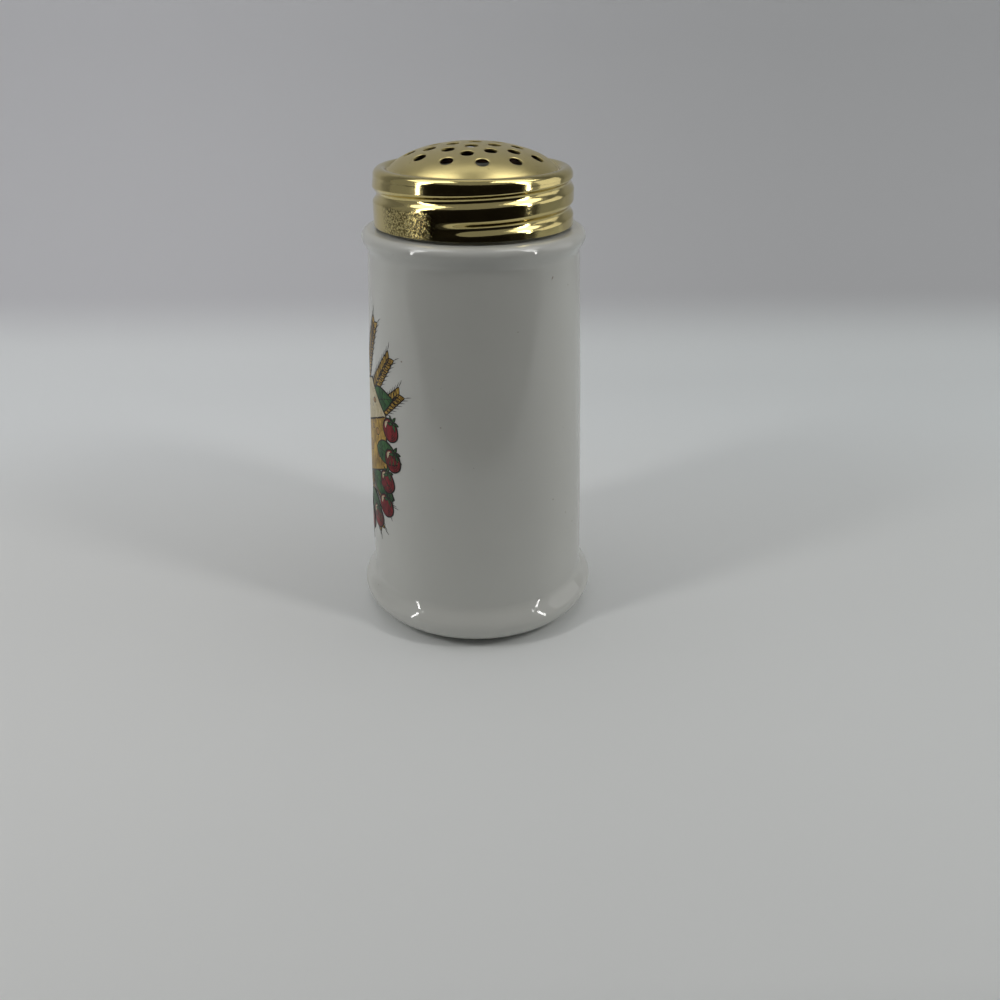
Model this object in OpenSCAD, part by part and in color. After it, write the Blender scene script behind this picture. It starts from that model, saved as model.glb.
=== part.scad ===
// Shaker for grated cheese: a glazed ceramic body with a stamped metal screw cap.
// Millimetres. The origin is the middle of the base, +Z is up and -Y faces the viewer.
// Azimuths are counted in degrees from the front, towards +X.

/* [Body] */
// Height of the shoulder that the cap closes down to
body_h = 118.2; // [100:0.1:140]
// Diameter of the bulging foot at its widest
foot_d = 73; // [70:0.1:80]
// Height of the foot's widest place
foot_widest_h = 7.5; // [5:0.1:9]
// How far in from the widest place the foot's lower round starts
foot_round_w = 11.5; // [9:0.1:14]
// Height where the foot has run into the body
foot_h = 13.5; // [12:0.1:26]
// Diameter of the body just above the foot
body_low_d = 66.4; // [62:0.1:69]
// Diameter of the body just under the collar
body_top_d = 59.4; // [57:0.1:62]
// How far the side swells past a straight taper
barrel = 0.3; // [0:0.05:1.5]
// Diameter of the collar
collar_d = 62.4; // [62:0.1:66]
// Height that the collar takes up under the shoulder
collar_h = 6.2; // [5:0.1:9]
// Radius of the collar's upper edge
collar_round = 2.2; // [1:0.1:2.6]
// Thickness of the side wall
wall = 3.6; // [3:0.1:5]
// Thickness of the floor
floor_t = 4.5; // [3:0.1:8]
// Radius of the inner corner above the floor
floor_round = 8; // [4:0.1:12]
// Height of the slope from the inner wall to the mouth
throat_h = 9; // [6:0.1:14]
// Height of the mouth's straight stretch below the shoulder
throat_drop = 2.7; // [1:0.1:6]

/* [Base] */
// Depth of the recess under the base
recess_h = 1.5; // [0.8:0.1:2.5]
// Radius of the recess at its ceiling
recess_r = 21.4; // [18:0.1:23]
// How far the recess widens towards its opening
recess_flare = 0.9; // [0.2:0.1:1.2]

/* [Neck] */
// Diameter of the neck between its threads
neck_d = 51; // [49:0.1:53]
// Diameter of the mouth
mouth_d = 41.6; // [36:0.1:43]
// Radius of the rim's two edges
rim_round = 1; // [0.4:0.1:1.2]
// Radius of the fillet at the foot of the neck
neck_fillet = 0.8; // [0.4:0.1:1]
// Height of the thread ridge on the neck
ridge_h = 1.1; // [0.8:0.05:1.2]
// Width of the thread ridge at its root
ridge_w = 3.2; // [2.4:0.1:3.4]

/* [Cap] */
// Thickness of the sheet metal
sheet = 0.45; // [0.3:0.05:0.6]
// Gap between the shoulder and the cap's lower edge
cap_gap = 1; // [0.5:0.1:2]
// Height of the skirt, up to where it starts to narrow
skirt_h = 9.7; // [8.5:0.1:12]
// Height over which the skirt narrows and runs up into the bead
shoulder_h = 3.15; // [2.6:0.05:3.6]
// How far the bead stays inside the skirt's radius
bead_in = 0.35; // [0.1:0.05:0.6]
// Radius of the bead's section
bead_round = 2.1; // [2:0.05:2.4]
// How far the valley lies below the top of the bead
valley_drop = 0.8; // [0.5:0.05:1.1]
// Width of the valley's level bottom
valley_w = 0.4; // [0.2:0.05:1]
// Height of the dome above the valley
dome_h = 6.75; // [4:0.05:8]
// Half the height of the ellipse that the dome is part of
dome_curve = 9.4; // [9:0.1:14]
// How far the lower edge flares out
flare = 0.35; // [0.1:0.05:0.6]
// Height of the flare
flare_h = 1.4; // [0.8:0.1:2]
// Clearance between the neck's thread ridge and the skirt
thread_gap = 0.45; // [0.3:0.05:0.8]

/* [Thread] */
// Rise of the thread in one turn
pitch = 6.7; // [5.6:0.1:7.2]
// Depth of the groove rolled into the skirt
groove_depth = 1.1; // [0.8:0.05:1.15]
// Width of the groove
groove_w = 4.2; // [3:0.1:4.6]
// Height of the groove's middle above the lower edge, at the front
groove_up = 3; // [2.8:0.1:4]
// Azimuth where the groove begins
groove_from = -25; // [-60:1:0]
// Turns that the groove takes
groove_turns = 1.38; // [1:0.01:1.45]
// Turns that the neck's ridge takes
ridge_turns = 1; // [0.6:0.01:1.1]
// Azimuth where the neck's ridge begins
ridge_from = -145; // [-180:1:-140]
// Clearance along the axis between the two threads when closed
thread_play = 0.35; // [0.25:0.05:0.6]

/* [Holes] */
// Diameter of a dispensing hole
hole_d = 3.5; // [2.5:0.1:4]
// Distance between neighbouring holes of the inner field
hole_pitch = 6.5; // [5:0.1:7]
// Turn of the inner field
field_turn = 20; // [0:1:60]
// Diameter of the outer ring of holes
ring_d = 35.7; // [34:0.1:37]
// Number of holes in the outer ring
ring_count = 12; // [6:1:16]
// Azimuth of the outer ring's first hole
ring_turn = 5; // [0:1:30]
// How far all the holes sit to the right of the middle
holes_right = 0.8; // [-1:0.1:1]
// How far all the holes sit behind the middle
holes_back = 0.5; // [-1:0.1:1]

/* [Liner] */
// Thickness of the sealing ring
liner_h = 1; // [0.6:0.1:1.6]
// How far the ring stands in past the rim's inner round
liner_in = 0.2; // [0:0.1:0.8]
// Clearance between the ring and the bead that it is pressed into
liner_gap = 0.1; // [0.05:0.05:0.4]

/* [Picture] */
// Width of the fired picture along the body
picture_w = 69; // [40:1:80]
// Height of the fired picture
picture_h = 72; // [40:1:76]
// Height of the picture's middle
picture_z = 60; // [58:1:64]
// Azimuth that the picture faces
picture_turn = -103; // [-180:1:180]
// Thickness of the fired transfer
picture_t = 0.2; // [0.1:0.05:0.4]
// Gap that keeps the transfer clear of the wall's facets
picture_gap = 0.02; // [0.01:0.01:0.05]

/* [Hidden] */
$fn = 96;

// Overrun of every cut
over = 1;
// Steps along a curved stretch of an outline
curve_steps = 10;
// Degrees between two sections of the neck's thread, and steps across one
thread_step = 6;
ridge_steps = 8;
// Degrees over which a thread comes up to its full depth
thread_fade = 26;
// How far the ridge's section starts below the neck's surface, and how far its foot is sunk
ridge_lift = 0.15 * ridge_h;
ridge_sunk = 0.5 * ridge_h;
// Columns around the skirt, and rows down to its flare and down the flare
skirt_columns = 72;
skirt_rows = 21;
flare_rows = 3;
// How far the skirt's corners stay inside the sheet, so its flat facets do too
facet_inset = sheet / 15;
// Share of the threads' joined half widths that separates them where their flanks meet
flank_share = 0.34;
// Power of the rounded outline of the picture, where 2 is an ellipse
picture_power = 2.4;
picture_points = 40;

foot_r = foot_d / 2;
body_low_r = body_low_d / 2;
body_top_r = body_top_d / 2;
collar_r = collar_d / 2;
collar_z = body_h - collar_h;
collar_widest_z = body_h - collar_round;
neck_r = neck_d / 2;
mouth_r = mouth_d / 2;
floor_z = recess_h + floor_t;

ridge_r = neck_r + ridge_h;
skirt_r = ridge_r + thread_gap + sheet;
bead_r = skirt_r - bead_in - bead_round;
cap_z = body_h + cap_gap;
skirt_z = cap_z + skirt_h;
bead_z = skirt_z + shoulder_h;
valley_z = bead_z + bead_round - valley_drop;
apex_z = valley_z + dome_h;
dome_z = apex_z - dome_curve;
valley_r = bead_r - sqrt(pow(bead_round, 2) - pow(valley_z - bead_z, 2)) - valley_w;
dome_r = valley_r / sqrt(1 - pow((valley_z - dome_z) / dome_curve, 2));
rim_z = valley_z - sheet - liner_h;
liner_r = bead_r + sqrt(pow(bead_round - sheet, 2) - pow(valley_z - sheet - bead_z, 2)) - liner_gap;

groove_z = cap_z + groove_up;
ridge_rise = (groove_w + ridge_w) / 2 * flank_share + thread_play;

// Rises from 0 to 1 with level ends
function ease(t) = t * t * (3 - 2 * t);

// Points of an outline that leaves one upright stretch and joins another
function s_curve(from, to) = [
    for (i = [0:curve_steps])
        let (t = i / curve_steps)
        [from[0] + (to[0] - from[0]) * ease(t), from[1] + (to[1] - from[1]) * t]
];

// Points of an elliptical arc about a centre, between two angles
function arc(centre, half_w, half_h, from, to) = [
    for (i = [0:curve_steps])
        let (a = from + (to - from) * i / curve_steps)
        [centre[0] + half_w * cos(a), centre[1] + half_h * sin(a)]
];

// Outer radius of the body's side at a height between the foot and the collar
function side_r(z) =
    let (t = (z - foot_h) / (collar_z - foot_h))
    body_low_r + (body_top_r - body_low_r) * t + barrel * 4 * t * (1 - t);

// Points of the body's side between two heights, set in by a distance
function side(from, to, inset) = [
    for (i = [0:curve_steps])
        let (z = from + (to - from) * i / curve_steps)
        [side_r(z) - inset, z]
];

// Outline of the body: under the base, up the outside, over the rim and down the inside
function body_outline() =
    let (
        throat_z = body_h - throat_drop,
        inner_top_z = throat_z - throat_h,
        inner_low_z = floor_z + floor_round,
        inner_low_r = side_r(inner_low_z) - wall
    )
    concat(
        [[0, recess_h], [recess_r, recess_h], [recess_r + recess_flare, 0]],
        arc([foot_r - foot_round_w, foot_widest_h], foot_round_w, foot_widest_h, -90, 0),
        s_curve([foot_r, foot_widest_h], [body_low_r, foot_h]),
        side(foot_h, collar_z, 0),
        s_curve([body_top_r, collar_z], [collar_r, collar_widest_z]),
        arc([collar_r - collar_round, collar_widest_z], collar_round, collar_round, 0, 90),
        arc([neck_r + neck_fillet, body_h + neck_fillet], neck_fillet, neck_fillet, 270, 180),
        arc([neck_r - rim_round, rim_z - rim_round], rim_round, rim_round, 0, 90),
        arc([mouth_r + rim_round, rim_z - rim_round], rim_round, rim_round, 90, 180),
        s_curve([mouth_r, throat_z], [side_r(inner_top_z) - wall, inner_top_z]),
        side(inner_top_z, inner_low_z, wall),
        arc([inner_low_r - floor_round, inner_low_z], floor_round, floor_round, 0, -90),
        [[0, floor_z]]
    );

// Outline of the cap's surface from the axis to the bead's widest place, set in by a distance
function crown_outline(inset) =
    let (
        round = bead_round - inset,
        dome_foot = asin((valley_z - inset - dome_z) / (dome_curve - inset)),
        bead_from = 180 - asin((valley_z - inset - bead_z) / round)
    )
    concat(
        arc([0, dome_z], dome_r - inset, dome_curve - inset, 90, dome_foot),
        arc([bead_r, bead_z], round, round, bead_from, 0)
    );

// Radius of the skirt at a height, before its thread is rolled
function skirt_plain_r(z) =
    z < cap_z + flare_h ? skirt_r + flare * ease((cap_z + flare_h - z) / flare_h)
    : z > skirt_z ? skirt_r - bead_in * ease((z - skirt_z) / shoulder_h)
    : skirt_r;

// Depth of a thread at a distance along the axis from its middle, as a share of its full depth
function thread_share(distance, width) =
    abs(distance) < width / 2 ? (1 + cos(360 * distance / width)) / 2 : 0;

// How far a thread that winds from one azimuth over some turns has come up to its full depth
function thread_rise(a, from, turns) =
    ease(max(0, min(1, (a - from) / thread_fade, (from + turns * 360 - a) / thread_fade)));

// Radius of the skirt's outside at an azimuth and a height. The groove runs out under the bead.
function skirt_face_r(a, z) =
    let (
        depths = [
            for (turn = [0:ceil(groove_turns)])
                let (wound = groove_from + (a - groove_from) % 360 + turn * 360)
                thread_rise(wound, groove_from, groove_turns)
                    * thread_share(z - groove_z - pitch * wound / 360, groove_w)
        ]
    )
    min(skirt_plain_r(z), skirt_r - min(groove_depth * max(depths), bead_z - z));

// Ridge on the neck, a sweep around the axis whose foot is sunk into the wall
module neck_thread() {
    count = ceil(ridge_turns * 360 / thread_step);
    ring = ridge_steps + 3;
    function section(a) = concat(
        [[neck_r - ridge_sunk, ridge_w / 2], [neck_r - ridge_sunk, -ridge_w / 2]],
        [for (i = [0:ridge_steps])
            let (
                up = (i / ridge_steps - 1 / 2) * ridge_w,
                share = thread_rise(a, ridge_from, ridge_turns) * thread_share(up, ridge_w)
            )
            [neck_r - ridge_lift + (ridge_h + ridge_lift) * share, up]]
    );
    points = [
        for (k = [0:count])
            let (a = ridge_from + ridge_turns * 360 * k / count)
            for (p = section(a))
                [p[0] * sin(a), -p[0] * cos(a), groove_z + ridge_rise + pitch * a / 360 + p[1]]
    ];
    polyhedron(points, tube_faces(count, ring, true));
}

// Triangles of a grid whose rows are closed rings of points, each row joined to the next.
// Its two ends are closed, or its last row is joined to its first.
function tube_faces(rows, ring, ends) =
    let (last = ends ? rows : rows + 1)
    concat(
        [
            for (k = [0:last - 1], i = [0:ring - 1])
                let (
                    j = (i + 1) % ring,
                    next = (k + 1) % (rows + 1)
                )
                each [
                    [k * ring + i, k * ring + j, next * ring + j],
                    [k * ring + i, next * ring + j, next * ring + i]
                ]
        ],
        ends ? [
            [for (i = [ring - 1:-1:0]) i],
            [for (i = [0:ring - 1]) rows * ring + i]
        ] : []
    );

module jar_body() {
    color("white")
    union() {
        rotate_extrude()
            polygon(body_outline());
        neck_thread();
    }
}

// One dispensing hole, square to the dome at a place in plan
module dome_hole(x, y) {
    share = norm([x, y]) / dome_r;
    height = dome_curve * sqrt(1 - pow(share, 2));
    tilt = atan(dome_curve / dome_r * share / sqrt(1 - pow(share, 2)));
    translate([x, y, dome_z + height])
        rotate([0, tilt, atan2(y, x)])
            cylinder(h = 2 * (sheet + over), d = hole_d, center = true);
}

// A six-sided field of two rings about a middle hole, and a round ring outside it
module dome_holes() {
    for (i = [-2:2], j = [-2:2])
        if (abs(i + j) <= 2) {
            x = hole_pitch * (i + j / 2);
            y = hole_pitch * j * sqrt(3) / 2;
            dome_hole(holes_right + x * cos(field_turn) - y * sin(field_turn),
                      holes_back + x * sin(field_turn) + y * cos(field_turn));
        }
    for (k = [0:ring_count - 1]) {
        a = ring_turn + 360 * k / ring_count;
        dome_hole(holes_right + ring_d / 2 * sin(a), holes_back - ring_d / 2 * cos(a));
    }
}

// The dome, valley and bead, down to the bead's widest place
module crown() {
    inner = crown_outline(sheet);
    difference() {
        rotate_extrude()
            polygon(concat(crown_outline(0), [for (i = [len(inner) - 1:-1:0]) inner[i]]));
        dome_holes();
    }
}

// The threaded skirt, from the bead to the lower edge. Its rows go down the outside and up
// the inside. The top row stays just inside the crown's edge, so the two share one level face.
module skirt() {
    heights = concat(
        [for (i = [0:skirt_rows])
            bead_z - (shoulder_h + skirt_h - flare_h) * i / skirt_rows],
        [for (i = [1:flare_rows]) cap_z + flare_h * (1 - i / flare_rows)]
    );
    azimuths = [for (i = [0:skirt_columns - 1]) 360 * i / skirt_columns];
    function row(z, inset) = [
        for (a = azimuths)
            let (r = skirt_face_r(a, z) - inset)
            [r * sin(a), -r * cos(a), z]
    ];
    points = concat(
        [for (z = heights, p = row(z, facet_inset)) p],
        [for (i = [len(heights) - 1:-1:0], p = row(heights[i], sheet - facet_inset)) p]
    );
    polyhedron(points, tube_faces(2 * len(heights) - 1, skirt_columns, false));
}

module cap_shell() {
    color([0.83, 0.74, 0.48])
    union() {
        crown();
        skirt();
    }
}

module cap_liner() {
    color("sienna")
    translate([0, 0, rim_z])
        rotate_extrude()
            translate([mouth_r + rim_round - liner_in, 0])
                square([liner_r - mouth_r - rim_round + liner_in, liner_h]);
}

// Rounded outline of the picture, seen from the front of it
function picture_outline() = [
    for (k = [0:picture_points - 1])
        let (
            a = 360 * k / picture_points,
            half_w = side_r(picture_z) * sin(picture_w / side_r(picture_z) / 2 * 180 / PI)
        )
        [
            half_w * sign(cos(a)) * pow(abs(cos(a)), 2 / picture_power),
            picture_h / 2 * sign(sin(a)) * pow(abs(sin(a)), 2 / picture_power)
        ]
];

module decal() {
    low = picture_z - picture_h / 2;
    high = picture_z + picture_h / 2;
    inner = side(low, high, -picture_gap);
    outer = side(high, low, -picture_gap - picture_t);
    side_reach = max(body_low_r, body_top_r) + barrel + picture_gap + picture_t;
    color("olivedrab")
    rotate([0, 0, picture_turn])
        intersection() {
            rotate_extrude()
                polygon(concat(inner, outer));
            translate([0, 0, picture_z])
                rotate([90, 0, 0])
                    linear_extrude(height = side_reach + over)
                        polygon(picture_outline());
        }
}

jar_body();
decal();
cap_shell();
cap_liner();
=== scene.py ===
"""Looks of a glazed ceramic shaker with a gold-tone screw cap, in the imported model's frame."""

import math

import bpy
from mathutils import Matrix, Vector
from mathutils.geometry import delaunay_2d_cdt


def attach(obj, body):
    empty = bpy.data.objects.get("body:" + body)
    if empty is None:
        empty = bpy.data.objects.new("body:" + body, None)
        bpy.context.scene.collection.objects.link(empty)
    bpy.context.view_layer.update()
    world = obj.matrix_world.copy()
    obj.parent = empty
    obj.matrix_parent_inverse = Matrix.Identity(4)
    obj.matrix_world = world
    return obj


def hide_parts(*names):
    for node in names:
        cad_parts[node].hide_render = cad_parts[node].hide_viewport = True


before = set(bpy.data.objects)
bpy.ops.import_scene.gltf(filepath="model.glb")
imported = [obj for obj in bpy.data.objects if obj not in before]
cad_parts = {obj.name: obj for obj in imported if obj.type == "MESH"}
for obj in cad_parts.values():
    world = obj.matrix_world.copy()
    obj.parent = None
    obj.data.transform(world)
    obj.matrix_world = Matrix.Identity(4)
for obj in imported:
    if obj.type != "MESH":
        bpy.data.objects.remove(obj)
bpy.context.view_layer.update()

# Sizes are in millimetres, as in the solids, and become metres where a mesh is made. Materials and
# the stage are in metres. Azimuths are in degrees from the front, anticlockwise seen from above.
MM = 0.001
# Sizes under this are taken as none
TINY = 1e-6

# Ways of joining points into triangles: over all of them, or only inside the outlines given. Points
# closer than the last value are taken as one.
OVER_ALL, INSIDE, SAME_PLACE = 0, 1, 1e-5

# Body
BODY_H = 118.2
FOOT_R = 36.5
FOOT_WIDEST_H = 7.5
FOOT_ROUND_W = 11.5
FOOT_H = 13.5
BODY_LOW_R = 33.2
BODY_TOP_R = 29.7
BARREL = 0.3
COLLAR_R = 31.2
COLLAR_Z = 112.0
COLLAR_ROUND = 2.2
WALL = 3.6
FLOOR_Z = 6.0
FLOOR_ROUND = 8.0
THROAT_H = 9.0
THROAT_DROP = 2.7
RECESS_H = 1.5
RECESS_R = 21.4
RECESS_FLARE = 0.9
JAR_COLUMNS = 240

# Neck
NECK_R = 25.5
MOUTH_R = 20.8
RIM_ROUND = 1.0
NECK_FILLET = 0.8
NECK_ROWS = 36
RIDGE_H = 1.1
RIDGE_W = 3.2
RIDGE_FROM = -145.0
RIDGE_TURNS = 1.0
RIDGE_LIFT = 0.15 * RIDGE_H

# Cap
SHEET = 0.45
CAP_Z = 119.2
SKIRT_R = 27.5
SKIRT_Z = 128.9
SKIRT_ROWS = 72
BEAD_IN = 0.35
BEAD_R = 25.05
BEAD_Z = 132.05
BEAD_ROUND = 2.1
VALLEY_Z = 133.35
DOME_CURVE = 9.4
APEX_Z = 140.1
DOME_Z = APEX_Z - DOME_CURVE
FLARE = 0.35
FLARE_H = 1.4
EDGE_ROUND = 0.12
VALLEY_W = 0.4
VALLEY_R = BEAD_R - math.sqrt(BEAD_ROUND ** 2 - (VALLEY_Z - BEAD_Z) ** 2) - VALLEY_W
DOME_R = VALLEY_R / math.sqrt(1 - ((VALLEY_Z - DOME_Z) / DOME_CURVE) ** 2)
CAP_COLUMNS = 288

# Thread, on the cap as a groove and on the neck as a ridge
PITCH = 6.7
GROOVE_DEPTH = 1.1
GROOVE_W = 4.2
GROOVE_Z = CAP_Z + 3.0
GROOVE_FROM = -25.0
GROOVE_TURNS = 1.38
THREAD_FADE = 26.0
FLANK_SHARE = 0.34
THREAD_PLAY = 0.35
RIDGE_RISE = (GROOVE_W + RIDGE_W) / 2 * FLANK_SHARE + THREAD_PLAY

# Dispensing holes
HOLE_R = 1.75
HOLE_PITCH = 6.5
HOLE_POINTS = 44
FIELD_RINGS = 2
FIELD_TURN = 20.0
RING_R = 17.85
RING_COUNT = 12
RING_TURN = 5.0
HOLES_RIGHT = 0.8
HOLES_BACK = 0.5
LIP_REACH = 0.3
LIP_DROP = 0.14

# Sealing ring, which lies on the rim of the neck
LINER_IN_R = 21.6
LINER_OUT_R = 26.36
LINER_H = 1.0
LINER_COLUMNS = 192
RIM_Z = VALLEY_Z - SHEET - LINER_H

# Fired picture: its middle, the lift of its ink off the wall, and how much each motif adds to it
PICTURE_Z = 60.0
PICTURE_TURN = -103.0
INK_LOW = 0.03
INK_STEP = 0.006

# Colours, as a pair where a look varies between the two
GLAZE = ((0.585, 0.588, 0.552), (0.62, 0.624, 0.587))
GLAZE_SPECK = (0.36, 0.33, 0.28)
BARE_CLAY = (0.60, 0.57, 0.52)
GOLD = ((0.62, 0.52, 0.225), (0.69, 0.58, 0.265))
WORN_GOLD = (0.52, 0.41, 0.17)
SCRATCHED = (0.13, 0.10, 0.035)
# Painted shade: dark brown on the underside of the dome, which darkens the holes
UNDER_DOME_SHADE = (0.085, 0.035, 0.02)
BOARD = ((0.085, 0.036, 0.022), (0.14, 0.062, 0.038))
INKS = {
    "green": ((0.012, 0.05, 0.018), (0.05, 0.15, 0.045)),
    "red": ((0.10, 0.010, 0.014), (0.27, 0.022, 0.026)),
    "gold": ((0.20, 0.11, 0.015), (0.58, 0.37, 0.07)),
    "rind": ((0.26, 0.12, 0.03), (0.45, 0.25, 0.07)),
    "cream": ((0.50, 0.42, 0.24), (0.66, 0.59, 0.42)),
    "line": ((0.012, 0.010, 0.010), (0.03, 0.022, 0.018)),
}
# Sweep colours, left then right, with light and shade painted in: the far floor palest as a painted pool of
# light, the right and the back greyer as painted shade, and the front dark as painted shade
PAPER_NEAR = ((0.84, 0.85, 0.845), (0.77, 0.79, 0.785))
PAPER_FAR_GLOW = ((0.96, 0.985, 0.995), (0.83, 0.865, 0.87))
PAPER_BACK_SHADED = ((0.715, 0.715, 0.745), (0.56, 0.565, 0.58))
PAPER_FRONT_SHADE = (0.05, 0.05, 0.05)
DARK_ROOM = ((0.012, 0.010, 0.009), (0.02, 0.017, 0.015))
LAMP_COLOUR = (1.0, 0.99, 0.97)
GLOW_COLOUR = (0.97, 0.99, 1.0)
GLOW_STRENGTH = 0.25


def ease(t):
    """Rises from 0 to 1 with level ends."""
    return t * t * (3 - 2 * t)


def s_curve(start, end, steps):
    """Points of an outline that leaves one upright stretch and joins another."""
    points = []
    for i in range(steps + 1):
        t = i / steps
        points.append((start[0] + (end[0] - start[0]) * ease(t), start[1] + (end[1] - start[1]) * t))
    return points


def arc(centre, half_w, half_h, start, end, steps):
    """Points of an elliptical arc between two angles in degrees."""
    points = []
    for i in range(steps + 1):
        a = math.radians(start + (end - start) * i / steps)
        points.append((centre[0] + half_w * math.cos(a), centre[1] + half_h * math.sin(a)))
    return points


def side_r(z):
    """Outer radius of the body's side at a height."""
    t = (z - FOOT_H) / (COLLAR_Z - FOOT_H)
    return BODY_LOW_R + (BODY_TOP_R - BODY_LOW_R) * t + BARREL * 4 * t * (1 - t)


def side(start, end, inset, steps):
    """Points of the body's side between two heights, set in by a distance."""
    heights = [start + (end - start) * i / steps for i in range(steps + 1)]
    return [(side_r(z) - inset, z) for z in heights]


def thread_share(distance, width):
    """Depth of a thread at a distance from its middle, as a share of its full depth."""
    if abs(distance) >= width / 2:
        return 0.0
    return (1 + math.cos(2 * math.pi * distance / width)) / 2


def thread_rise(a, start, turns):
    """How far a winding thread has come up to its full depth at an azimuth."""
    nearest = min(a - start, start + turns * 360 - a)
    return ease(max(0.0, min(1.0, nearest / THREAD_FADE)))


def around(r, a, z):
    """A point in metres, from a radius, an azimuth in degrees from the front, and a height."""
    return (r * math.sin(math.radians(a)) * MM, -r * math.cos(math.radians(a)) * MM, z * MM)


def make_object(name, vertices, faces, material, sharp=40):
    """A mesh object with smooth faces that part at angles sharper than the one given."""
    mesh = bpy.data.meshes.new(name)
    mesh.from_pydata(vertices, [], faces)
    mesh.validate()
    mesh.update()
    mesh.shade_smooth()
    mesh.set_sharp_from_angle(angle=math.radians(sharp))
    piece = bpy.data.objects.new(name, mesh)
    bpy.context.scene.collection.objects.link(piece)
    piece.data.materials.append(material)
    return piece


def lathe(outline, columns, radius=None):
    """Vertices and faces of an outline turned about the axis. An end on the axis is a point.

    radius(r, z, a) may change the radius of a point at an azimuth."""
    vertices, rows, faces = [], [], []
    for r, z in outline:
        if r < TINY:
            rows.append([len(vertices)])
            vertices.append((0, 0, z * MM))
            continue
        rows.append(list(range(len(vertices), len(vertices) + columns)))
        for k in range(columns):
            a = 360 * k / columns
            vertices.append(around(radius(r, z, a) if radius else r, a, z))
    for low, high in zip(rows, rows[1:]):
        faces += bridge(low, high)
    return vertices, faces


def bridge(low, high):
    """Faces between two rings of vertices, or between a ring and a single vertex."""
    count = max(len(low), len(high))
    faces = []
    for k in range(count):
        n = (k + 1) % count
        if len(low) == 1:
            faces.append((low[0], high[n], high[k]))
        elif len(high) == 1:
            faces.append((low[k], low[n], high[0]))
        else:
            faces.append((low[k], low[n], high[n], high[k]))
    return faces


# Materials

class Nodes:
    """A material's node tree, with short calls for the nodes that the looks need."""

    def __init__(self, name):
        self.material = bpy.data.materials.new(name)
        self.material.use_nodes = True
        self.tree = self.material.node_tree
        self.shader = self.tree.nodes["Principled BSDF"]

    def add(self, kind, **settings):
        """A new node of a kind, with its settings."""
        node = self.tree.nodes.new(kind)
        for key, value in settings.items():
            setattr(node, key, value)
        return node

    def link(self, source, target):
        self.tree.links.new(source, target)

    def place(self):
        """Coordinates on the object in metres."""
        return self.add("ShaderNodeTexCoord").outputs["Object"]

    def stretched(self, scale):
        """Coordinates on the object, scaled along each axis."""
        mapping = self.add("ShaderNodeMapping")
        mapping.inputs["Scale"].default_value = scale
        self.link(self.place(), mapping.inputs["Vector"])
        return mapping.outputs["Vector"]

    def split(self, vector):
        """The x, y and z of a vector."""
        node = self.add("ShaderNodeSeparateXYZ")
        self.link(vector, node.inputs["Vector"])
        return [node.outputs[axis] for axis in "XYZ"]

    def noise(self, scale, detail, roughness=0.5, vector=None):
        """Noise about one half, in metres unless another vector is given. Its scale is roughly the
        number of its lumps to a metre."""
        node = self.add("ShaderNodeTexNoise")
        node.inputs["Scale"].default_value = scale
        node.inputs["Detail"].default_value = detail
        node.inputs["Roughness"].default_value = roughness
        self.link(vector or self.place(), node.inputs["Vector"])
        return node.outputs["Fac"]

    def spread(self, value, low, high, to_low=0.0, to_high=1.0, smooth=True):
        """A value between low and high, carried to between to_low and to_high."""
        node = self.add("ShaderNodeMapRange")
        node.interpolation_type = "SMOOTHSTEP" if smooth else "LINEAR"
        self.link(value, node.inputs["Value"])
        for key, number in (("From Min", low), ("From Max", high), ("To Min", to_low), ("To Max", to_high)):
            node.inputs[key].default_value = number
        return node.outputs["Result"]

    def math(self, operation, a, b):
        """An operation on two values, each a number or another node's output."""
        node = self.add("ShaderNodeMath", operation=operation)
        for socket, value in zip(node.inputs, (a, b)):
            if isinstance(value, (int, float)):
                socket.default_value = value
            else:
                self.link(value, socket)
        return node.outputs["Value"]

    def product(self, first, *others):
        """Values multiplied together."""
        for other in others:
            first = self.math("MULTIPLY", first, other)
        return first

    def blend_colours(self, share, first, second):
        """A colour between two others, the second where the share is 1."""
        # Places of the mix node's colours among its sockets for all types of value
        first_input, second_input, output = 6, 7, 2
        node = self.add("ShaderNodeMix", data_type="RGBA")
        self.link(share, node.inputs["Factor"])
        for index, value in ((first_input, first), (second_input, second)):
            if isinstance(value, tuple):
                node.inputs[index].default_value = (*value, 1)
            else:
                self.link(value, node.inputs[index])
        return node.outputs[output]

    def bump(self, height, distance, strength, under=None):
        """A surface raised by a height times a distance in metres, over another bump if given."""
        node = self.add("ShaderNodeBump")
        node.inputs["Distance"].default_value = distance
        node.inputs["Strength"].default_value = strength
        self.link(height, node.inputs["Height"])
        if under:
            self.link(under, node.inputs["Normal"])
        return node.outputs["Normal"]

    def finish(self, **sockets):
        """Sets the shader's sockets, given with _ for a space, and returns the material."""
        for key, value in sockets.items():
            socket = self.shader.inputs[key.replace("_", " ")]
            if isinstance(value, (int, float)):
                socket.default_value = value
            else:
                self.link(value, socket)
        return self.material


def glaze_material():
    """White gloss glaze with fine specks, bare and rough where the foot ring stands."""
    n = Nodes("glaze")
    # Heights in metres between which the glaze begins, and how ragged its edge is
    begins, ragged = (0.0006, 0.0009), 0.0005
    _, _, z = n.split(n.place())
    height = n.math("ADD", z, n.product(n.noise(700, 2), ragged))
    bare = n.spread(height, *begins, 1.0, 0.0)
    tone = n.blend_colours(n.noise(38, 3), *GLAZE)
    specks = n.spread(n.noise(620, 1, 0.4), 0.80, 0.84)
    speckled = n.blend_colours(specks, tone, GLAZE_SPECK)
    colour = n.blend_colours(bare, speckled, BARE_CLAY)
    gloss = n.spread(n.noise(120, 3), 0.3, 0.7, 0.025, 0.05)
    rough = n.math("ADD", gloss, n.product(bare, 0.7))
    waves = n.bump(n.noise(55, 2, 0.4), 0.0004, 0.5)
    grit = n.bump(n.product(n.noise(2600, 3), bare), 0.0002, 0.6, under=waves)
    return n.finish(Base_Color=colour, Roughness=rough, Normal=grit, IOR=1.58)


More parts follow.
